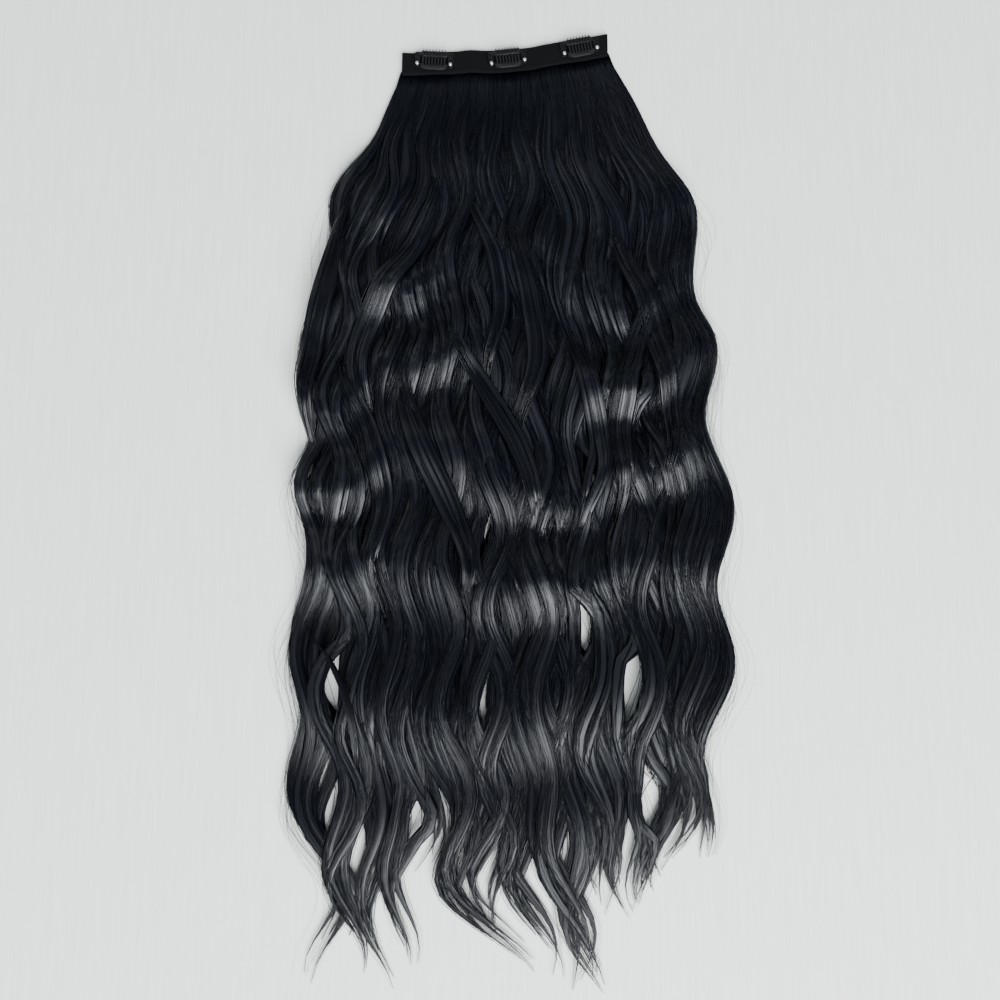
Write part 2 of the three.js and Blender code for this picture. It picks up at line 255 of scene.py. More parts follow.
def fibreGroup():
    # fine grooves that run along the hair, from each piece's own 'lie' across and 'run' along it
    group, given, out = newGroup("fibreGrooves", [
        ("Per Metre", "NodeSocketFloat", 2400.0),
        ("Drift", "NodeSocketFloat", 9.0),
    ], [("Height", "NodeSocketFloat"), ("Tone", "NodeSocketFloat")])
    lie = addNode(group, "ShaderNodeAttribute", attribute_name="lie").outputs["Fac"]
    run = addNode(group, "ShaderNodeAttribute", attribute_name="run").outputs["Fac"]
    place = addNode(group, "ShaderNodeCombineXYZ")
    group.links.new(mathNode(group, "MULTIPLY", lie, given.outputs["Per Metre"]), place.inputs["X"])
    group.links.new(mathNode(group, "MULTIPLY", run, given.outputs["Drift"]), place.inputs["Y"])
    vector = place.outputs["Vector"]
    group.links.new(noiseNode(group, vector, 1.0, 2.0, 0.6), out.inputs["Height"])
    group.links.new(noiseNode(group, vector, 0.22, 2.0), out.inputs["Tone"])
    return group


def weaveGroup():
    # plain weave: two sets of threads that pass over each other
    group, given, out = newGroup("plainWeave", [
        ("Threads Per Metre", "NodeSocketFloat", 1800.0),
        ("Unevenness", "NodeSocketFloat", 0.35),
    ], [("Height", "NodeSocketFloat"), ("Tone", "NodeSocketFloat")])
    place = addNode(group, "ShaderNodeTexCoord").outputs["Object"]
    split = addNode(group, "ShaderNodeSeparateXYZ")
    group.links.new(place, split.inputs[0])
    pitch = mathNode(group, "MULTIPLY", given.outputs["Threads Per Metre"], math.pi)
    warp = mathNode(group, "SINE", mathNode(group, "MULTIPLY", split.outputs["X"], pitch), 0)
    weft = mathNode(group, "SINE", mathNode(group, "MULTIPLY", split.outputs["Y"], pitch), 0)
    cross = rangeNode(group, mathNode(group, "MULTIPLY", warp, weft), -1, 1)
    cloud = noiseNode(group, place, 900.0, 3.0, 0.6)
    uneven = mathNode(group, "MULTIPLY", cloud, given.outputs["Unevenness"])
    group.links.new(mathNode(group, "ADD", cross, uneven), out.inputs["Height"])
    group.links.new(cloud, out.inputs["Tone"])
    return group


def wearGroup():
    # paint rubbed off along corners, and specks of dust
    group, given, out = newGroup("edgeWear", [
        ("Reach", "NodeSocketFloat", 0.08),
        ("Dust", "NodeSocketFloat", 0.3),
    ], [("Marks", "NodeSocketFloat")])
    place = addNode(group, "ShaderNodeTexCoord").outputs["Object"]
    shape = addNode(group, "ShaderNodeNewGeometry")
    broken = noiseNode(group, place, 1400.0, 4.0, 0.7)
    corner = mathNode(group, "SUBTRACT", shape.outputs["Pointiness"], 0.52)
    sharp = mathNode(group, "DIVIDE", corner, given.outputs["Reach"])
    worn = mathNode(group, "MULTIPLY", sharp, broken)
    specks = rangeNode(group, noiseNode(group, place, 3200.0, 1.0), 0.66, 0.74)
    dust = mathNode(group, "MULTIPLY", specks, given.outputs["Dust"])
    clamp = addNode(group, "ShaderNodeClamp")
    group.links.new(mathNode(group, "MAXIMUM", worn, dust), clamp.inputs["Value"])
    group.links.new(clamp.outputs["Result"], out.inputs["Marks"])
    return group


def newMaterial(name, colour, roughness, metallic=0.0, constants=None):
    material = bpy.data.materials.new(name)
    material.use_nodes = True
    tree = material.node_tree
    shader = tree.nodes["Principled BSDF"]
    shader.inputs["Base Color"].default_value = (*colour, 1)
    shader.inputs["Roughness"].default_value = roughness
    shader.inputs["Metallic"].default_value = metallic
    for key, value in (constants or {}).items():
        shader.inputs[key].default_value = value
    return material, tree, shader


def useGroup(tree, group, values=None):
    node = addNode(tree, "ShaderNodeGroup", node_tree=group)
    for key, value in (values or {}).items():
        node.inputs[key].default_value = value
    return node


def bumpFrom(tree, shader, height, strength, distance):
    bump = addNode(tree, "ShaderNodeBump")
    bump.inputs["Strength"].default_value = strength
    bump.inputs["Distance"].default_value = distance
    tree.links.new(height, bump.inputs["Height"])
    tree.links.new(bump.outputs["Normal"], shader.inputs["Normal"])


def mixColours(tree, factor, first, second):
    node = addNode(tree, "ShaderNodeMix", data_type="RGBA")
    tree.links.new(factor, node.inputs["Factor"])
    node.inputs["A"].default_value = (*first, 1)
    node.inputs["B"].default_value = (*second, 1)
    return node.outputs["Result"]


fibreGrooves = fibreGroup()
plainWeave = weaveGroup()
edgeWear = wearGroup()


def hairMaterial(name, grooves, bump, look, gloss):
    dark, light = look["dark"], look["light"]
    constants = {"Specular IOR Level": look["shine"]}
    material, tree, shader = newMaterial(name, dark, gloss[0], constants=constants)
    fibre = useGroup(tree, fibreGrooves, {"Per Metre": grooves})
    tone = addNode(tree, "ShaderNodeAttribute", attribute_name="tone").outputs["Fac"]
    both = rangeNode(tree, mathNode(tree, "MULTIPLY", tone, fibre.outputs["Tone"]), 0.1, 0.6)
    tree.links.new(mixColours(tree, both, dark, light), shader.inputs["Base Color"])
    tree.links.new(rangeNode(tree, fibre.outputs["Tone"], 0.3, 0.7, *gloss), shader.inputs["Roughness"])
    if bump:
        bumpFrom(tree, shader, fibre.outputs["Height"], 1.0, bump)
    return material


hairLook = {
    "dark": (0.0004, 0.0008, 0.003),
    "light": (0.0026, 0.0034, 0.006),
    "shine": 0.34,
    "lockGrooves": 1500.0,     # per metre across a lock
    "lockGrooveDepth": 0.3 * mm,
    "lockGloss": (0.32, 0.4),
    "strandGrooves": 400.0,
    "strandGloss": (0.24, 0.33),
}
lockMaterial = hairMaterial("lockHair", hairLook["lockGrooves"], hairLook["lockGrooveDepth"],
                            hairLook, hairLook["lockGloss"])
strandMaterial = hairMaterial("strandHair", hairLook["strandGrooves"], 0.0,
                              hairLook, hairLook["strandGloss"])

clothLook = {
    "roughness": 0.92,
    "shine": 0.12,
    # dark and light colour, threads per metre, depth of the weave
    "tapeCloth": ((0.0008, 0.0009, 0.0012), (0.003, 0.003, 0.0038), 1700.0, 0.12 * mm),
    "threadCotton": ((0.003, 0.003, 0.0035), (0.009, 0.009, 0.01), 5200.0, 0.05 * mm),
}


def clothMaterial(name):
    colour, light, threads, depth = clothLook[name]
    constants = {"Specular IOR Level": clothLook["shine"]}
    material, tree, shader = newMaterial(name, colour, clothLook["roughness"], constants=constants)
    weave = useGroup(tree, plainWeave, {"Threads Per Metre": threads})
    tree.links.new(mixColours(tree, weave.outputs["Tone"], colour, light), shader.inputs["Base Color"])
    bumpFrom(tree, shader, weave.outputs["Height"], 0.8, depth)
    return material


tapeCloth = clothMaterial("tapeCloth")
threadCotton = clothMaterial("threadCotton")

clipLook = {
    "wornRoughness": 0.2,      # what wear adds
    "pitsPerMetre": 1800.0,
    # colour, worn colour, roughness, metallic, depth of the pits, specular level
    "paintedSteel": ((0.002, 0.002, 0.0024), (0.02, 0.02, 0.02), 0.45, 0.0, 0.03 * mm, 0.25),
    "siliconeTube": ((0.002, 0.002, 0.0024), (0.012, 0.012, 0.012), 0.35, 0.0, 0.02 * mm, 0.25),
    "nickelRivet": ((0.8, 0.79, 0.77), (0.45, 0.43, 0.4), 0.3, 1.0, 0.01 * mm, 0.5),
}


def clipMaterial(name):
    colour, worn, roughness, metallic, pits, shine = clipLook[name]
    constants = {"Specular IOR Level": shine}
    material, tree, shader = newMaterial(name, colour, roughness, metallic, constants)
    marks = useGroup(tree, edgeWear).outputs["Marks"]
    tree.links.new(mixColours(tree, marks, colour, worn), shader.inputs["Base Color"])
    rough = rangeNode(tree, marks, 0, 1, roughness, roughness + clipLook["wornRoughness"])
    tree.links.new(rough, shader.inputs["Roughness"])
    place = addNode(tree, "ShaderNodeTexCoord").outputs["Object"]
    bumpFrom(tree, shader, noiseNode(tree, place, clipLook["pitsPerMetre"], 2.0), 0.35, pits)
    return material


paintedSteel = clipMaterial("paintedSteel")
siliconeTube = clipMaterial("siliconeTube")
nickelRivet = clipMaterial("nickelRivet")
print("materials made")


# camera, light and table

camera = {
    "aim": (-2.5 * mm, -20.0 * mm, 0.0),
    "distance": 693 * mm,
    "tilt": 7.2,       # degrees off straight down, leaning towards the tips
    "lens": 32.4,
}
tilt = math.radians(camera["tilt"])
cameraData = bpy.data.cameras.new("camera")
cameraData.lens = camera["lens"]
cameraData.sensor_width = 36
cameraData.clip_start = 0.01
cameraObject = bpy.data.objects.new("camera", cameraData)
towards = Vector((0, -math.sin(tilt), math.cos(tilt)))
cameraObject.location = Vector(camera["aim"]) + towards * camera["distance"]
cameraObject.rotation_euler = (tilt, 0, 0)
bpy.context.scene.collection.objects.link(cameraObject)
bpy.context.scene.camera = cameraObject

light = {
    "sky": 0.4,
    "skyColour": (0.85, 0.94, 1.0, 1),
    "windowEnergy": 730,
    "windowColour": (0.95, 0.98, 1.0),
    "windowSize": (3.4, 3.2),
    "windowPlace": (1.0, -3.1, 2.7),
    "fillEnergy": 8,
    "fillSize": (1.0, 1.0),
    "fillColour": (0.93, 0.96, 1.0),
    "fillPlace": (-0.9, 1.2, 1.8),
}
world = bpy.data.worlds.new("room")
world.use_nodes = True
world.node_tree.nodes["Background"].inputs["Color"].default_value = light["skyColour"]
world.node_tree.nodes["Background"].inputs["Strength"].default_value = light["sky"]
bpy.context.scene.world = world

for name in ("window", "fill"):
    data = bpy.data.lights.new(name, "AREA")
    data.shape = "RECTANGLE"
    data.size, data.size_y = light[name + "Size"]
    data.energy = light[name + "Energy"]
    data.color = light[name + "Colour"]
    lamp = bpy.data.objects.new(name, data)
    lamp.location = light[name + "Place"]
    lamp.rotation_euler = (-lamp.location).to_track_quat("-Z", "Y").to_euler()
    bpy.context.scene.collection.objects.link(lamp)

table = {
    "half": 3.0,
    "colour": (0.84, 0.84, 0.81),
    "streak": (0.76, 0.77, 0.745),
    "streakScale": (420, 14, 1),
    "streakDepth": 0.2 * mm,
    "roughness": 0.6,
}
floorMaterial, floorTree, floorShader = newMaterial("paintedBoard", table["colour"], table["roughness"])
floorPlace = addNode(floorTree, "ShaderNodeTexCoord").outputs["Object"]
floorStretch = addNode(floorTree, "ShaderNodeMapping")
floorStretch.inputs["Scale"].default_value = table["streakScale"]
floorTree.links.new(floorPlace, floorStretch.inputs["Vector"])
streaks = noiseNode(floorTree, floorStretch.outputs["Vector"], 1.0, 3.0, 0.6)
streakMask = rangeNode(floorTree, streaks, 0.35, 0.7)
streakColour = mixColours(floorTree, streakMask, table["colour"], table["streak"])
floorTree.links.new(streakColour, floorShader.inputs["Base Color"])
bumpFrom(floorTree, floorShader, streaks, 0.3, table["streakDepth"])
edge = table["half"]
floorCorners = [(-edge, -edge, 0), (edge, -edge, 0), (edge, edge, 0), (-edge, edge, 0)]
floorPiece = meshPiece("table", floorCorners, [[(0, 1, 2, 3)]], floorMaterial, body=None)
print("camera, light and table made")


# the folded tape, with its bend and its rise between the clips

tape = {
    "length": 168 * mm,
    "height": 20 * mm,
    "wall": 1 * mm,
    "slot": 1.8 * mm,
    "lift": 1 * mm,
    "liftRun": 15 * mm,
    "clipReach": 17 * mm,      # half a clip and the flat beside it
    "clipPlaces": (-0.69, 0.03, 0.735),
    "bendPlaces": (-1, -0.69, -0.35, 0.03, 0.35, 0.6, 0.8, 1),
    "bendRises": (-0.018, -0.012, -0.006, 0, 0.021, 0.048, 0.063, 0.083),
    "steps": 168,
    "cutEdge": 0.25 * mm,      # how far the cut edges are softened
    "foldReach": 0.9 * mm,
    "slotEnd": 1.3 * mm,
    "crease": 0.22 * mm,
    "edgeWave": 0.12 * mm,
    "stitchPitch": 2.7 * mm,
    "stitchGap": 0.5 * mm,
    "stitchRadius": 0.17 * mm,
    "stitchRows": (1.9 * mm, 18.5 * mm),       # below the folded edge
}
tapeLow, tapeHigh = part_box("tape")
tapeX = (tapeLow.x + tapeHigh.x) / 2
tapeY = tapeHigh.y - max(tape["bendRises"]) * tape["length"]
tapeThickness = tape["slot"] + 2 * tape["wall"]
tapeBend = batten(tape["bendPlaces"], tape["bendRises"])


def tapeRise(x):
    # how far the folded edge stands from its middle, x measured from the tape's middle
    return tapeBend(np.clip(x / (tape["length"] / 2), -1, 1)) * tape["length"]


def tapeLift(x):
    x = np.asarray(x, float)
    nearest = np.min([np.abs(x - place * tape["length"] / 2) for place in tape["clipPlaces"]], axis=0)
    return tape["lift"] * ramp(nearest - tape["clipReach"], tape["liftRun"])


def onTape(x, y, z):
    # y runs from the folded edge, z from the tape's underside
    return np.stack([x + tapeX, y + tapeRise(x) + tapeY, z + tapeLift(x)], axis=-1)


def tapeSection():
    # the folded cloth's outline, with a round fold and soft cut edges
    fold = tapeThickness / 2
    soft, reach = tape["cutEdge"], tape["foldReach"]
    points = [(-tape["height"], soft), (-tape["height"] + soft, 0)]
    points += [(-share * tape["height"], 0) for share in (0.85, 0.7, 0.5, 0.3, 0.17)]
    for k in range(9):
        angle = -math.pi / 2 + math.pi * k / 8
        points.append((-reach + reach * math.cos(angle), fold + fold * math.sin(angle)))
    points += [(-share * tape["height"], tapeThickness) for share in (0.17, 0.3, 0.5, 0.7, 0.85)]
    points += [(-tape["height"] + soft, tapeThickness), (-tape["height"], tapeThickness - soft)]
    inner = tapeThickness - tape["wall"]
    points += [(-tape["height"], inner + soft / 2), (-tape["height"] + soft, inner)]
    points += [(-tape["slotEnd"], inner), (-tape["wall"], fold), (-tape["slotEnd"], tape["wall"])]
    points += [(-tape["height"] + soft, tape["wall"]), (-tape["height"], tape["wall"] - soft / 2)]
    return points


def makeTape():
    section = np.array(tapeSection())
    y, z = section[:, 0], section[:, 1]
    top = ramp(z - 2.5 * mm, 1 * mm)
    sections = []
    for step in range(tape["steps"] + 1):
        x = tape["length"] * (step / tape["steps"] - 0.5)
        clear = ramp(tapeLift(x), 0.3 * mm)      # flat under the clips
        ripple = np.sin(x / (3.1 * mm) + 900 * y) + np.sin(x / (7.3 * mm) + 400 * y)
        edgeWave = tape["edgeWave"] * math.sin(x / (5.3 * mm)) * (z > 0)
        crease = top * clear * tape["crease"] * ripple / 2
        sections.append(onTape(np.full(len(y), x), y + edgeWave, z + crease))
    verts, faces = rings(sections)
    piece = meshPiece("tape_cloth", verts, faces, tapeCloth, turnOut=True)
    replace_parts(piece, "tape")


def makeStitches():
    paths = []
    count = int(tape["length"] / tape["stitchPitch"])
    t = np.linspace(0, 1, 6)
    for row in tape["stitchRows"]:
        for upper in (False, True):
            for k in range(count):
                start = (k - count / 2) * tape["stitchPitch"]
                x = start + (tape["stitchPitch"] - tape["stitchGap"]) * t + rng.normal(0, 0.06 * mm)
                y = -row + rng.normal(0, 0.07 * mm) + 0.1 * mm * (t - 0.5)
                bow = (0.16 * mm + tape["crease"] * 0.4) * np.sin(math.pi * t) - 0.05 * mm
                paths.append(onTape(x, y, tapeThickness + bow if upper else np.full(6, 0.02 * mm)))
    paths = np.array(paths)
    verts, faces = tubes(paths, np.full(paths.shape[:2], tape["stitchRadius"]), 5)
    verts[:, 2] = np.maximum(verts[:, 2], 0.0)
    meshPiece("tape_stitches", verts, faces, threadCotton)


makeTape()
makeStitches()
print("tape and its seams made")


# the snap comb clips, each on its own frame between the two rivets

clip = {
    "gap": 0.3 * mm,
    "rivetSpacing": 27 * mm,
    "armWidth": 4 * mm,
    "barDistance": 9 * mm,
    "barHeight": 3 * mm,
    "plate": 0.6 * mm,
    "shankRadius": 0.7 * mm,
    "tailRadius": 1.6 * mm,
    "tail": 0.6 * mm,
    "headRadius": 1.5 * mm,
    "headHeight": 1 * mm,
    "sewHoles": (4.2 * mm, 8.4 * mm),
    "sewHoleRadius": 0.55 * mm,
    "sleeveWall": 0.6 * mm,
    "sleeveEndGap": 1 * mm,
    "sleeveSquareness": 0.75,
    "comb": 0.5 * mm,
    "eyeRadius": 2 * mm,
    "bandWidth": 4 * mm,
    "bandEndDrop": 1.5 * mm,
    "bandMiddleDrop": 4.2 * mm,
    "bandArch": 2.2 * mm,
    "bandFlatness": 5,
    "bandSteps": 40,
    "teeth": 8,
    "toothPitch": 2.5 * mm,
    "toothWidth": 1.3 * mm,
    "toothTip": 0.5,
    "toothSteps": 14,
    "tipReach": 1.4 * mm,
    "tipDip": 0.6 * mm,
    "threadRadius": 0.16 * mm,
    "broken": 0.13 * mm,       # bevel of every pressed edge
}
clip["tailTop"] = clip["gap"] + clip["tail"]
clip["plateLow"] = clip["tailTop"] + clip["gap"]
clip["plateHigh"] = clip["plateLow"] + clip["plate"]
clip["eyeLow"] = clip["plateHigh"] + clip["gap"]
clip["eyeHigh"] = clip["eyeLow"] + clip["comb"]
clip["pivot"] = (clip["eyeLow"] + clip["eyeHigh"]) / 2
clip["headLow"] = clip["eyeHigh"] + clip["gap"]
clip["holeRadius"] = clip["shankRadius"] + clip["gap"]
clip["sleeveTop"] = clip["plateHigh"] + clip["gap"] + clip["sleeveWall"]


def clipPlace(joint):
    across = Vector(joint["axis"]).normalized()
    up = Vector((0, 0, 1))
    place = Matrix((across, up.cross(across), up)).transposed().to_4x4()
    place.translation = Vector(joint["pos_m"]) - up * clip["pivot"]
    return place


def arc(x, y, radius, start, end, count):
    angles = [mix(start, end, k / count) for k in range(count + 1)]
    return [(x + radius * math.cos(angle), y + radius * math.sin(angle)) for angle in angles]


def insetOutline(points, inset):
    # moves each point of a clockwise outline inwards
    moved = []
    for k, point in enumerate(points):
        before, here, after = Vector(points[k - 1]), Vector(point), Vector(points[(k + 1) % len(points)])
        mean = ((here - before).normalized() + (after - here).normalized()).normalized()
        moved.append((here.x + mean.y * inset, here.y - mean.x * inset))
    return moved


def pressedPlate(outline, holes, low, high):
    # a flat pressed plate with round holes and broken edges
    curve = bpy.data.curves.new("pressing", "CURVE")
    curve.dimensions = "2D"
    curve.fill_mode = "BOTH"
    curve.extrude = (high - low) / 2 - clip["broken"]
    curve.bevel_depth = clip["broken"]
    curve.bevel_resolution = 1
    for loop in [insetOutline(outline, clip["broken"])] + holes:
        spline = curve.splines.new("POLY")
        spline.points.add(len(loop) - 1)
        spline.use_cyclic_u = True
        for point, (x, y) in zip(spline.points, loop):
            point.co = (x, y, 0, 1)
    holder = bpy.data.objects.new("pressing", curve)
    bpy.context.scene.collection.objects.link(holder)
    bpy.context.view_layer.update()
    mesh = bpy.data.meshes.new_from_object(holder.evaluated_get(bpy.context.evaluated_depsgraph_get()))
    bpy.data.objects.remove(holder)
    bpy.data.curves.remove(curve)
    solid = bmesh.new()
    solid.from_mesh(mesh)
    bmesh.ops.remove_doubles(solid, verts=solid.verts, dist=1e-6)
    bmesh.ops.translate(solid, verts=solid.verts, vec=(0, 0, (low + high) / 2))
    bmesh.ops.recalc_face_normals(solid, faces=solid.faces)
    solid.to_mesh(mesh)
    solid.free()
    mesh.materials.clear()
    return mesh


def makeFrame(name, place):
    foot = clip["rivetSpacing"] / 2
    ear = clip["armWidth"] / 2
    inner, outer = foot - ear, foot + ear
    low = clip["barDistance"] - clip["barHeight"] / 2
    high = clip["barDistance"] + clip["barHeight"] / 2
    corner, nook = 1.0 * mm, 0.6 * mm
    right = math.pi / 2
    outline = arc(-inner + nook, low - nook, nook, right, math.pi, 5)
    outline += arc(-foot, 0, ear, 0, -math.pi, 18)
    outline += arc(-outer + corner, high - corner, corner, math.pi, right, 5)
    outline += arc(outer - corner, high - corner, corner, right, 0, 5)
    outline += arc(foot, 0, ear, 0, -math.pi, 18)
    outline += arc(inner - nook, low - nook, nook, 0, right, 5)
    holes = []
    for side in (-foot, foot):
        holes.append(arc(side, 0, clip["holeRadius"] + clip["broken"], 0, turn * 19 / 20, 19))
        for up in clip["sewHoles"]:
            holes.append(arc(side, up, clip["sewHoleRadius"] + clip["broken"], 0, turn * 13 / 14, 13))
    mesh = pressedPlate(outline, holes, clip["plateLow"], clip["plateHigh"])
    mesh.transform(place)
    mesh.name = name
    return linked(name, mesh, paintedSteel, "root")


def makeSleeve(name, place):
    thick = clip["plate"] / 2 + clip["gap"] + clip["sleeveWall"]
    half = clip["barHeight"] / 2 + clip["gap"] + clip["sleeveWall"]
    boreHalf = clip["barHeight"] / 2 + clip["gap"]
    boreThick = clip["plate"] / 2 + clip["gap"]
    middle = (clip["plateLow"] + clip["plateHigh"]) / 2
    sides, steps = 32, 24

    def ring(x, wide, high):
        points = []
        for k in range(sides):
            c, s = math.cos(turn * k / sides), math.sin(turn * k / sides)
            y = math.copysign(abs(c) ** clip["sleeveSquareness"], c) * wide
            z = math.copysign(abs(s) ** clip["sleeveSquareness"], s) * high
            points.append((x, y + clip["barDistance"], z + middle))
        return points

    long = clip["rivetSpacing"] - clip["armWidth"] - 2 * clip["sleeveEndGap"]
    sections = []
    for step in range(steps + 1):
        t = step / steps
        grow = 0.05 * mm * math.sin(t * 17) - 0.25 * mm * (1 - ramp(min(t, 1 - t) * long, 0.4 * mm))
        sections.append(ring((t - 0.5) * long, half + grow, thick + grow))
    sections += [ring((0.5 - step / 6) * long, boreHalf, boreThick) for step in range(7)]
    verts, faces = rings(sections, closed=True)
    return meshPiece(name, verts, faces, siliconeTube, "root", place, turnOut=True)


def makeEye(name, place, side):
    low, high, bevel = clip["eyeLow"], clip["eyeHigh"], clip["broken"]
    hole, rim = clip["holeRadius"], clip["eyeRadius"]
    profile = [(hole, low + bevel), (hole + bevel, low), (rim - bevel, low), (rim, low + bevel),
               (rim, high - bevel), (rim - bevel, high), (hole + bevel, high), (hole, high - bevel)]
    verts, faces = lathe(profile, 28)
    verts = verts + np.array([side * clip["rivetSpacing"] / 2, 0, 0])
    return meshPiece(name, verts, faces, paintedSteel, "root", place, turnOut=True)


def makeRivet(name, place, side):
    head, shank, tail = clip["headRadius"], clip["shankRadius"], clip["tailRadius"]
    base, top = clip["headLow"], clip["headLow"] + clip["headHeight"]
    core, soft = 0.02 * mm, 0.12 * mm
    profile = [(core, clip["gap"]), (tail - soft, clip["gap"]), (tail, clip["gap"] + soft),
               (tail, clip["tailTop"] - soft), (tail - soft, clip["tailTop"]),
               (shank, clip["tailTop"]), (shank, base), (head - soft, base), (head, base + soft)]
    for k in range(1, 7):
        angle = math.pi / 2 * k / 7
        profile.append((head * math.cos(angle), mix(base + soft, top, math.sin(angle))))
    profile += [(0.28 * mm, top), (core, top - soft / 2)]
    verts, faces = lathe(profile, 26)
    verts = verts + np.array([side * clip["rivetSpacing"] / 2, 0, 0])
    return meshPiece(name, verts, faces, nickelRivet, "root", place, turnOut=True)


def stripSection(wide, thick):
    w, t, bevel = wide / 2, thick / 2, clip["broken"]
    return [(-w, -t + bevel), (-w + bevel, -t), (w - bevel, -t), (w, -t + bevel),
            (w, t - bevel), (w - bevel, t), (-w + bevel, t), (-w, t - bevel)]


def makeComb(name, place, body):
    reach = clip["rivetSpacing"] / 2 - clip["eyeRadius"] - clip["gap"]

    def bandMiddle(x):
        bow = 1 - abs(x / reach) ** clip["bandFlatness"]
        drop = mix(clip["bandEndDrop"], clip["bandMiddleDrop"], bow)
        return -drop, clip["pivot"] + clip["bandArch"] * bow

    sections = []
    for step in range(clip["bandSteps"] + 1):
        x = reach * (2 * step / clip["bandSteps"] - 1)
        y, z = bandMiddle(x)
        ends = ramp(reach - abs(x), 1.2 * mm)
        section = stripSection(clip["bandWidth"] * mix(0.82, 1, ends), clip["comb"])
        sections.append([(x, y + across, z + up) for across, up in section])
    parts = [rings(sections)]
    sleeveHalf = clip["barHeight"] / 2 + clip["gap"] + clip["sleeveWall"]
    bar = clip["barDistance"]
    far = bar + sleeveHalf
    over = clip["sleeveTop"] + clip["gap"] + clip["comb"] / 2
    for k in range(clip["teeth"]):
        x = (k - (clip["teeth"] - 1) / 2) * clip["toothPitch"]
        y, z = bandMiddle(x)
        rise = batten((y, bar - 1.5 * mm, bar + 1 * mm, far, far + clip["tipReach"]),
                      (z, over + 0.12 * mm, over, over - 0.25 * mm, clip["pivot"] - clip["tipDip"]))
        sections = []
        for step in range(clip["toothSteps"] + 1):
            t = step / clip["toothSteps"]
            here = mix(y, far + clip["tipReach"], t)
            wide = clip["toothWidth"] * mix(1, clip["toothTip"], ramp(t - 0.6, 0.4))
            thick = clip["comb"] * mix(1, 0.75, ramp(t - 0.8, 0.2))
            height = float(rise(here))
            if abs(here - bar) < 1.2 * mm:
                height = max(height, over)
            section = stripSection(wide, thick)
            sections.append([(x + across, here, height + up) for across, up in section])
        parts.append(rings(sections))
    verts, faces = joined(parts)
    return meshPiece(name, verts, faces, paintedSteel, body, place, turnOut=True)


def makeThreads(name, place):
    # cotton through the sewing holes, over the arm's outer edge and into the tape
    foot = clip["rivetSpacing"] / 2
    edge = clip["armWidth"] / 2
    top = clip["plateHigh"] + 0.18 * mm
    turns = (0, 0.2, 0.45, 0.75, 1)
    t = np.linspace(0, 1, 12)
    paths = []
    for side in (-1, 1):
        for hole in clip["sewHoles"]:
            for k in range(4):
                out = edge + 0.9 * mm + rng.uniform(-0.2, 0.3) * mm
                route = batten(turns, (0, 0.25 * mm, edge * 0.7, edge + 0.3 * mm, out))
                rise = batten(turns, (0.1 * mm, top, top + 0.08 * mm, top - 0.35 * mm, -0.05 * mm))
                y = hole + (k - 1.5) * 0.3 * mm * mix(0.4, 1.3, t)
                z = rise(t) + 0.05 * mm * (k % 2)
                paths.append(np.stack([side * (foot + route(t)), y, z], axis=-1))
    paths = np.array(paths)
    verts, faces = tubes(paths, np.full(paths.shape[:2], clip["threadRadius"]), 5)
    return meshPiece(name, verts, faces, threadCotton, "root", place)


for joint in frame["joints"]:
    number = joint["child"].split("_")[1]
    place = clipPlace(joint)
    made = {"frame": makeFrame(f"clip_{number}_plate", place),
            "sleeve": makeSleeve(f"clip_{number}_tube", place),
            "left_eye": makeEye(f"clip_{number}_washer_left", place, -1),
            "right_eye": makeEye(f"clip_{number}_washer_right", place, 1),
            "left_rivet": makeRivet(f"clip_{number}_pin_left", place, -1),
            "right_rivet": makeRivet(f"clip_{number}_pin_right", place, 1),
            "comb": makeComb(f"clip_{number}_spring_comb", place, joint["child"])}
    for part, piece in made.items():
        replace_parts(piece, f"clip_{number}_{part}")
    makeThreads(f"clip_{number}_threads", place)


# hair: locks of flat tufts, each tuft a thin body under a sheet of fine strands

hair = {
    "length": 696 * mm,
    "halfWidth": 168 * mm,
    "lockWidth": 30 * mm,
    "lockThickness": 9 * mm,
    "layerLift": 5 * mm,
    "growRun": 110 * mm,
    "start": 2.5 * mm,
    "inTape": 3 * mm,          # how far the roots reach into the tape
    "wave": 116 * mm,
    "sway": 7 * mm,
    "tipSway": 1.3,            # how much wider the tips swing
    "rootShare": 0.6,          # a lock's half width at the tape, of the root pitch
    "rootBottom": 1.3 * mm,
    "rootThickness": 1.2 * mm,
    "crown": 0.5,              # how much thinner a lock is at its sides
    "endStart": 0.87,          # where the ends of tufts and strands begin to thin
    "lowest": 0.15 * mm,
}
# where the hair catches the light (whole turns) and where it lies dark (half turns)
crest = {
    "places": (0, 110, 150, 190, 230, 270, 310, 349, 385, 425, 481, 537, 582, 640, 700),
    "turns": (-0.6, 0, 0.5, 1, 1.5, 2, 2.5, 3, 3.5, 4, 4.5, 5, 5.5, 6, 6.5),
    "reliefPlaces": (0, 110, 190, 270, 349, 425, 537, 640, 700),
    "relief": (0.6, 3.6, 6.6, 6.8, 6.4, 6.4, 4.0, 2.5, 1.8),
}
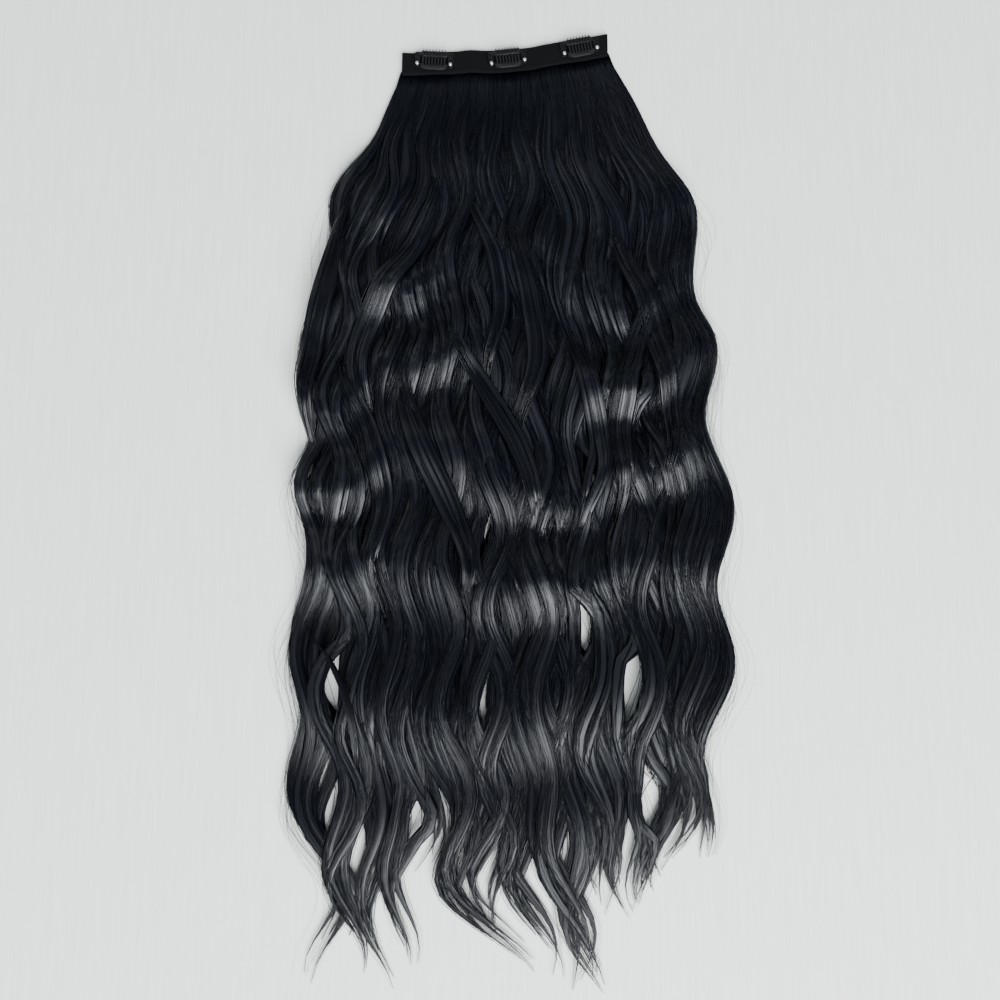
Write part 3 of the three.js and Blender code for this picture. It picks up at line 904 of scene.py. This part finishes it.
# how the lines of light shift (in turns) and fade, each with its lengths across and down
# they do so less past calmStart
unrest = {
    "shifts": ((0.26, 33 * mm, 95 * mm, 1), (0.08, 13 * mm, 70 * mm, -1)),
    "fade": (0.25, 21 * mm, 45 * mm),
    "calmStart": 330 * mm,
    "calmRun": 130 * mm,
    "calm": 0.22,
}
crestTurns = batten(np.array(crest["places"]) * mm, crest["turns"])
relief = batten(np.array(crest["reliefPlaces"]) * mm, np.array(crest["relief"]) * mm)
stations = {"high": 0.16, "upper": 0.34, "middle": 0.52, "lower": 0.69, "low": 0.85, "end": 0.91}
lockColumns = "high upper middle lower low end tip reach wide layer phase".split()
lockRows = [dict(zip(lockColumns, row)) for row in [
    (-0.69, -0.82, -0.82, -0.84, -0.81, -0.73, -0.8, 1.01, 1, 0, 0.22),
    (-0.58, -0.72, -0.7, -0.69, -0.69, -0.7, -0.62, 1, 1, 1, 0.1),
    (-0.49, -0.62, -0.59, -0.56, -0.58, -0.56, -0.53, 1.015, 1, 0, 0.95),
    (-0.39, -0.49, -0.48, -0.47, -0.46, -0.46, -0.44, 1, 0.9, 1, 0.05),
    (-0.31, -0.38, -0.37, -0.38, -0.34, -0.36, -0.4, 0.9, 0.9, 0, 0.9),
    (-0.24, -0.28, -0.27, -0.28, -0.22, -0.2, 0.1, 1, 1, 1, 0),
    (-0.17, -0.19, -0.18, -0.18, -0.13, -0.13, -0.11, 0.95, 0.9, 0, 0.1),
    (-0.09, -0.09, -0.08, -0.08, -0.05, -0.07, 0.04, 0.97, 1, 1, 0.95),
    (-0.01, 0, 0.02, 0.03, 0.05, 0.08, 0.21, 1.01, 1, 0, 0.05),
    (0.07, 0.1, 0.13, 0.14, 0.18, 0.25, 0.34, 1.02, 1, 1, 0.1),
    (0.15, 0.2, 0.23, 0.25, 0.29, 0.3, 0.39, 1.02, 0.9, 0, 0.9),
    (0.24, 0.3, 0.32, 0.37, 0.39, 0.45, 0.48, 0.95, 0.9, 1, 0),
    (0.33, 0.41, 0.46, 0.47, 0.46, 0.53, 0.56, 0.95, 0.9, 0, 0.05),
    (0.43, 0.51, 0.56, 0.6, 0.57, 0.6, 0.61, 0.94, 1, 1, 0.95),
    (0.54, 0.62, 0.67, 0.7, 0.68, 0.64, 0.62, 0.94, 0.9, 0, 0.1),
    (0.65, 0.73, 0.78, 0.79, 0.76, 0.72, 0.69, 0.9, 1, 1, 0),
    (0.77, 0.85, 0.91, 0.9, 0.84, 0.86, 0.88, 0.89, 0.8, 0, 0.45),
]]
# lens-shaped openings between locks: place across and down, width and length in mm, lean to the right
partings = [dict(zip(("x", "down", "wide", "long", "lean"), row)) for row in [
    (-128, 494, 9, 80, 0.12),
    (-65, 584, 7, 44, 0.1),
    (60, 452, 5, 70, -0.22),
    (93, 490, 11, 84, 0.03),
    (106, 575, 11, 60, -0.2),
    (100, 263, 5, 34, 0.12),
    (66, 334, 6, 50, -0.2),
]]
# locks that cross over the others: start and end down the hair, then places across in mm
overLocks = [dict(zip(("start", "end", "wide", "across"), row)) for row in [
    (60, 330, 9, (-50, -53, -70, -97, -113, -106, -92)),
    (80, 290, 6, (-36, -24, -8, -4, -14, -20)),
    (190, 400, 7, (-52, -36, -10, 12, 23, 19)),
    (180, 410, 8, (30, 52, 66, 73, 60, 46)),
    (90, 330, 7, (-118, -130, -139, -149, -152, -144)),
    (440, 570, 3, (-155, -132, -115, -109, -112)),
    (140, 400, 8, (126, 114, 98, 88, 90, 74)),
    (90, 360, 8, (76, 86, 108, 122, 127, 114)),
    (210, 450, 8, (-66, -79, -66, -44, -27, -38)),
    (200, 460, 8, (-138, -125, -103, -93, -101, -84)),
    (90, 350, 7, (12, 7, 19, 24, 8, 12)),
]]
taperWide = batten((0, 0.6, 0.84, 0.95, 1), (1, 1, 0.9, 0.66, 0.2))
taperThick = batten((0, 0.55, 0.8, 0.93, 1), (1, 1, 0.8, 0.5, 0.12))
rootPitch = tape["length"] / len(lockRows)


def waveHeight(x, distance, shift=0.0):
    patchy = mix(1.0, unrest["calm"], ramp(distance - unrest["calmStart"], unrest["calmRun"]))
    wander = 0
    for much, across, down, lean in unrest["shifts"]:
        wander = wander + much * np.sin(x / across + lean * distance / down)
    much, across, down = unrest["fade"]
    fade = much * (1 + np.sin(x / across - distance / down))
    turns = crestTurns(distance) + patchy * wander + shift
    return relief(distance) * (1 - patchy * fade) * (1 - np.sin(turns * turn))


opening = {
    "roundness": 1.6,
    "reach": 11 * mm,          # how far beside an opening the hair gives way
    "softEnd": 0.65,
}


def parted(x, distance, size, held=1.0):
    # pushes hair of some half width out of the openings, each path to one side of each
    # held is 0 for hair that lies over them
    for gap in partings:
        along = (distance - gap["down"] * mm) / (gap["long"] * mm / 2)
        lens = np.cos(np.clip(along, -1, 1) * math.pi / 2) ** opening["roundness"]
        middle = gap["x"] * mm + gap["lean"] * (distance - gap["down"] * mm)
        off = x - middle
        nearest = np.argmin(np.abs(along), axis=-1)[..., None]
        side = np.where(np.take_along_axis(off, nearest, axis=-1) < 0, -1.0, 1.0)
        off = off * side
        hold = (gap["wide"] * mm / 2 + size) * lens
        outside = off + hold * np.exp(-(np.clip(off, 0, None) / opening["reach"]) ** 1.6)
        inside = mix(off, hold, ramp(lens, opening["softEnd"]))
        pushed = middle + side * np.where(off < 0, inside, outside)
        x = np.where(lens > 0, mix(x, pushed, held), x)
    return x


def inLock(order, lock, share, side, up, wander=0.0, shift=0.0, size=0.0, held=1.0):
    # a place in a lock: share runs from root to tip, side is in half widths, up in thicknesses
    # wander is added sideways, shift moves the wave in turns, size is the half width of what lies there
    root = (order + 0.5) * rootPitch - tape["length"] / 2
    passed = [name for name in stations if stations[name] + 0.03 < lock["reach"]]
    down = [0] + [stations[name] for name in passed] + [lock["reach"]]
    route = batten(down, [root] + [lock[name] * hair["halfWidth"] for name in passed + ["tip"]])
    reach = lock["reach"] * hair["length"]
    distance = mix(-hair["inTape"], reach, share)
    past = np.clip(distance - hair["start"], 0, None)
    own = past / (reach - hair["start"])
    grown = ramp(past, hair["growRun"])
    settle = 1 - own ** 4
    bend = (distance / hair["wave"] + lock["phase"] * 2 + shift) * turn
    rootHalf = rootPitch * hair["rootShare"]
    halfWidth = mix(rootHalf, hair["lockWidth"] * lock["wide"] / 2, grown) * taperWide(own)
    thickness = mix(hair["rootThickness"] * 0.8, hair["lockThickness"] * taperThick(own), grown)
    sway = hair["sway"] * grown * mix(1, hair["tipSway"], ramp(own - 0.75, 0.25))
    x = route(distance / hair["length"]) + sway * np.cos(bend)
    x = parted(x + side * halfWidth + wander, distance, size, held)
    under = (lock["layer"] * hair["layerLift"] + waveHeight(x, distance, shift * 0.4)) * settle
    rootX = root + side * rootHalf
    crown = 1 - hair["crown"] * np.abs(side) ** 2.2
    z = mix(hair["rootBottom"] + 0.1 * hair["rootThickness"] + tapeLift(rootX), under, grown)
    z = z + up * crown * thickness
    y = -tape["height"] - distance + (1 - grown) * tapeRise(rootX)
    return np.stack([x + tapeX, y + tapeY, z], axis=-1)


tuft = {
    "count": 7,                # in each lock
    "halfWidth": 4.8 * mm,
    "rootHalfWidth": 1.5 * mm,
    "flatness": 0.2,
    "steps": 66,
    "sides": 8,
    "spread": 0.76,            # places across the lock, in its half widths
    "uneven": 0.06,
    "heights": (0.35, 0.8),    # in the lock's thickness
    "reaches": (0.94, 1.0),
    "widths": (0.8, 1.25),
    "shift": 0.08,             # of its wave, in turns
    "curl": 1.8 * mm,
    "curls": (3, 6),
    "gatherStart": 0.72,       # where the tufts draw together, and how far
    "gathered": 0.45,
    "endLoss": 0.9,
}


def inTuft(order, which, own, across=0.0, above=0.0, stray=0.0, held=1.0):
    # a place on a tuft's upper side: across is in its half widths, above and stray in metres
    draw = np.random.default_rng(1000 + order)
    count, spread = tuft["count"], tuft["spread"]
    side = np.linspace(-spread, spread, count) + draw.normal(0, tuft["uneven"], count)
    side = side[which][:, None]
    up = draw.permutation(np.linspace(*tuft["heights"], count))[which][:, None]
    reach = draw.uniform(*tuft["reaches"], count)[which][:, None]
    waves = draw.uniform(*tuft["curls"], count)[which][:, None]
    start = draw.random(count)[which][:, None]
    shift = draw.normal(0, tuft["shift"], count)[which][:, None]
    wide = draw.uniform(*tuft["widths"], count)[which][:, None]
    share = own * reach
    grown = ramp(share * hair["length"], hair["growRun"])
    width = wide * mix(tuft["rootHalfWidth"], tuft["halfWidth"], grown) * taperWide(share)
    side = side * mix(1, tuft["gathered"], ramp(share - tuft["gatherStart"], 1 - tuft["gatherStart"]))
    curl = tuft["curl"] * np.sin(turn * (share * waves + start)) * (0.5 + share) * grown
    dome = tuft["flatness"] * width * np.sqrt(np.clip(1 - across ** 2, 0, 1)) * (above > 0)
    wander = curl + across * width + stray * grown
    path = inLock(order, lockRows[order], share, side, up, wander, shift,
                  width * np.clip(1 - np.abs(across), 0, 1), held)
    path[..., 2] += dome + above
    return path, width, share


def thinned(t, loss):
    return 1 - loss * ramp(t - hair["endStart"], 1 - hair["endStart"])


def lockMesh(name, rows):
    # rows hold paths, radii and the run along the hair
    paths, radii, run = (np.concatenate(part) for part in zip(*rows))
    sides = tuft["sides"]
    verts, faces = tubes(paths, radii, sides, flat=tuft["flatness"])
    verts[:, 2] = np.maximum(verts[:, 2], hair["lowest"])
    piece = meshPiece(name, verts, faces, lockMaterial)
    lie = np.cos(turn * np.arange(sides) / sides) * radii[..., None]
    lie = lie + np.arange(len(paths))[:, None, None] * 0.1      # other grooves on each body
    pointValues(piece, "lie", lie)
    pointValues(piece, "run", np.repeat(run, sides, axis=1))
    pointValues(piece, "tone", np.repeat(rng.random(len(paths)), paths.shape[1] * sides))
    return piece


strand = {
    "perTuft": 15,
    "steps": 54,
    "radius": 0.25 * mm,
    "radii": (0.75, 1.25),
    "shorter": 0.13,           # the most that one ends before its tuft
    "across": 1.3,             # in the tuft's half widths
    "furthest": 1.5,
    "drift": 0.3,
    "above": (0.1, 0.9),       # mm
    "stray": 0.5 * mm,
    "strays": (2, 8),
    "overGaps": 0.06,          # the share that lies over an opening
    "endLoss": 0.75,
    "lowest": 0.05 * mm,
}


def strandMesh(name, rows):
    paths, radii, run = (np.concatenate(part) for part in zip(*rows))
    verts, faces = tubes(paths, radii, 3, turns=rng.uniform(0, turn, len(paths)))
    verts[:, 2] = np.maximum(verts[:, 2], strand["lowest"])
    piece = meshPiece(name, verts, faces, strandMaterial)
    pointValues(piece, "lie", np.repeat(rng.random(len(paths)), paths.shape[1] * 3))
    pointValues(piece, "run", np.repeat(run, 3, axis=1))
    pointValues(piece, "tone", np.repeat(rng.random(len(paths)), paths.shape[1] * 3))
    print(name, len(paths), "strands")


def lockBodies(name, orders):
    rows = []
    which = np.arange(tuft["count"])
    t = np.linspace(0, 1, tuft["steps"])[None, :]
    for order in orders:
        path, width, share = inTuft(order, which, t)
        rows.append((path, width * thinned(t, tuft["endLoss"]), share * hair["length"]))
    return lockMesh(name, rows)


def strandPiece(name, orders):
    rows = []
    which = np.repeat(np.arange(tuft["count"]), strand["perTuft"])
    count = len(which)
    t = np.linspace(0, 1, strand["steps"])[None, :]
    for order in orders:
        own = t * (1 - strand["shorter"] * rng.random(count) ** 2)[:, None]
        drift = strand["drift"] * rng.uniform(-1, 1, count)[:, None] * np.sin(turn * own * 1.5)
        across = rng.uniform(-strand["across"], strand["across"], count)[:, None] + drift
        across = np.clip(across, -strand["furthest"], strand["furthest"])
        above = rng.uniform(*strand["above"], count)[:, None] * mm
        waves = own * rng.uniform(*strand["strays"], count)[:, None] + rng.random(count)[:, None]
        stray = rng.normal(0, strand["stray"], count)[:, None] * np.sin(turn * waves)
        held = (rng.random(count) > strand["overGaps"]).astype(float)[:, None]
        path, width, share = inTuft(order, which, own, across, above, stray, held)
        thick = strand["radius"] * rng.uniform(*strand["radii"], count)[:, None]
        rows.append((path, thick * thinned(t, strand["endLoss"]), share * hair["length"]))
    strandMesh(name, rows)


crossing = {
    "steps": 36,
    "feather": 0.16,           # over how much of its length a lock's tufts and hairs begin and end
    "fullness": 1.2,
    "lift": 9.5 * mm,
    "sink": 12 * mm,
    "sinkShare": 0.24,
    "settleRun": 90 * mm,      # where it grows out of the flat roots
    "tuftSpread": 0.62,
    "tuftUneven": 0.07,
    "tuftAbove": (-0.8, 0.4),  # mm
    "tuftWidths": (0.42, 0.6),
    "strandsPerMm": 6,
    "strandSpread": 0.6,
    "strandFurthest": 1.3,
    "strandAbove": (0.2, 1.6),
}


def overLockPaths(row, across, above):
    # tufts or hairs of a crossing lock: each starts, ends and sinks under the others at its own place
    own = np.linspace(0, 1, crossing["steps"])[None, :]
    early = rng.uniform(0, crossing["feather"], len(across))[:, None]
    late = rng.uniform(1 - crossing["feather"], 1, len(across))[:, None]
    t = mix(early, late, own)
    distance = mix(row["start"], row["end"], t) * mm
    route = batten(np.linspace(0, 1, len(row["across"])), np.array(row["across"]) * mm)
    width = row["wide"] * mm * np.sin(math.pi * mix(0.04, 0.96, t)) ** crossing["fullness"]
    sink = crossing["sink"] * (1 - ramp(np.minimum(own, 1 - own), crossing["sinkShare"]))
    x = parted(route(t) + across * width, distance, 0)
    z = hair["layerLift"] + waveHeight(x, distance) + crossing["lift"] - sink + above
    z = z * ramp(distance, crossing["settleRun"])
    y = tapeY - tape["height"] - distance
    return np.stack([x + tapeX, y, z], axis=-1), distance, width


def overLockPieces():
    spread, furthest = crossing["tuftSpread"], crossing["strandFurthest"]
    rows = []
    for row in overLocks:
        count = max(2, row["wide"] // 2)
        across = np.linspace(-spread, spread, count) + rng.normal(0, crossing["tuftUneven"], count)
        above = rng.uniform(*crossing["tuftAbove"], count)[:, None] * mm
        path, distance, width = overLockPaths(row, across[:, None], above)
        rows.append((path, width * rng.uniform(*crossing["tuftWidths"], count)[:, None], distance))
    lockMesh("hair_over_locks", rows)
    rows = []
    for row in overLocks:
        count = row["wide"] * crossing["strandsPerMm"]
        across = np.clip(rng.normal(0, crossing["strandSpread"], count), -furthest, furthest)
        above = rng.uniform(*crossing["strandAbove"], count)[:, None] * mm
        path, distance, width = overLockPaths(row, across[:, None], above)
        thick = strand["radius"] * rng.uniform(*strand["radii"], count)[:, None]
        rows.append((path, thick * np.clip(width / (2 * mm), 0.3, 1), distance))
    strandMesh("hair_over_strands", rows)


flyaway = {
    "count": 150,
    "steps": 40,
    "starts": (0.08, 0.8),     # down the hair, and how long each is
    "lengths": (0.12, 0.4),
    "sides": (0.3, 0.9),
    "heights": (0.2, 0.8),
    "bulges": (2, 17),         # mm off the side
    "curl": 2.4,
    "curls": (0.6, 2.4),
    "radius": 0.11 * mm,
    "endLoss": 0.6,
}


def flyaways():
    # single hairs that stand off the sides
    t = np.linspace(0, 1, flyaway["steps"])
    radii = flyaway["radius"] * (1 - flyaway["endLoss"] * ramp(t - 0.6, 0.4))
    rows = []
    for k in range(flyaway["count"]):
        side = rng.choice([-1, 1])
        order = 0 if side < 0 else len(lockRows) - 1
        start = rng.uniform(*flyaway["starts"])
        share = mix(start, min(start + rng.uniform(*flyaway["lengths"]), 0.99), t)
        beside = side * rng.uniform(*flyaway["sides"])
        path = inLock(order, lockRows[order], share, beside, rng.uniform(*flyaway["heights"]))
        bulge = np.sin(math.pi * np.clip(t * rng.uniform(0.8, 1.1), 0, 1)) ** 1.3
        curl = np.sin(turn * (t * rng.uniform(*flyaway["curls"]) + rng.random()))
        path[:, 0] += (side * rng.uniform(*flyaway["bulges"]) + flyaway["curl"] * curl) * mm * bulge
        rows.append((path[None], radii[None], share[None] * hair["length"]))
    strandMesh("hair_flyaways", rows)


filling = {
    "halfWidth": 12.5 * mm,
    "rootHalfWidth": 2 * mm,
    "reach": 0.86,
    "up": 0.15,
    "lowered": 0.35,
    "endStart": 0.66,
    "endRun": 0.2,
    "endLoss": 0.95,
}


def fillBodies(name):
    # broad bodies under the seams between neighbouring locks
    t = np.linspace(0, filling["reach"], tuft["steps"])[None, :]
    rows = []
    for order, (lock, beside) in enumerate(zip(lockRows, lockRows[1:])):
        between = {key: mix(lock[key], beside[key], 0.5) for key in lock}
        between.update(layer=0, phase=lock["phase"])
        grown = ramp(t * hair["length"], hair["growRun"])
        path = inLock(order + 0.5, between, t, 0, filling["up"], size=filling["halfWidth"])
        path[..., 2] *= mix(1, filling["lowered"], grown)
        width = mix(filling["rootHalfWidth"], filling["halfWidth"], grown)
        ends = ramp(t - filling["endStart"], filling["endRun"])
        rows.append((path, width * (1 - filling["endLoss"] * ends), t * hair["length"]))
    lockMesh(name, rows)


middleLock = len(lockRows) // 2
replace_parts(lockBodies("hair_locks_left", range(middleLock)), "hair")
lockBodies("hair_locks_right", range(middleLock, len(lockRows)))
for number, orders in enumerate([(0, 1, 2, 3), (4, 5, 6, 7), (8, 9, 10, 11), (12, 13, 14), (15, 16)]):
    strandPiece(f"hair_strands_{number + 1}", orders)
fillBodies("hair_under_locks")
overLockPieces()
flyaways()
total = sum(len(piece.data.loops) - 2 * len(piece.data.polygons)
            for piece in bpy.data.objects if piece.type == "MESH" and not piece.hide_render)
print("triangles in all:", total)
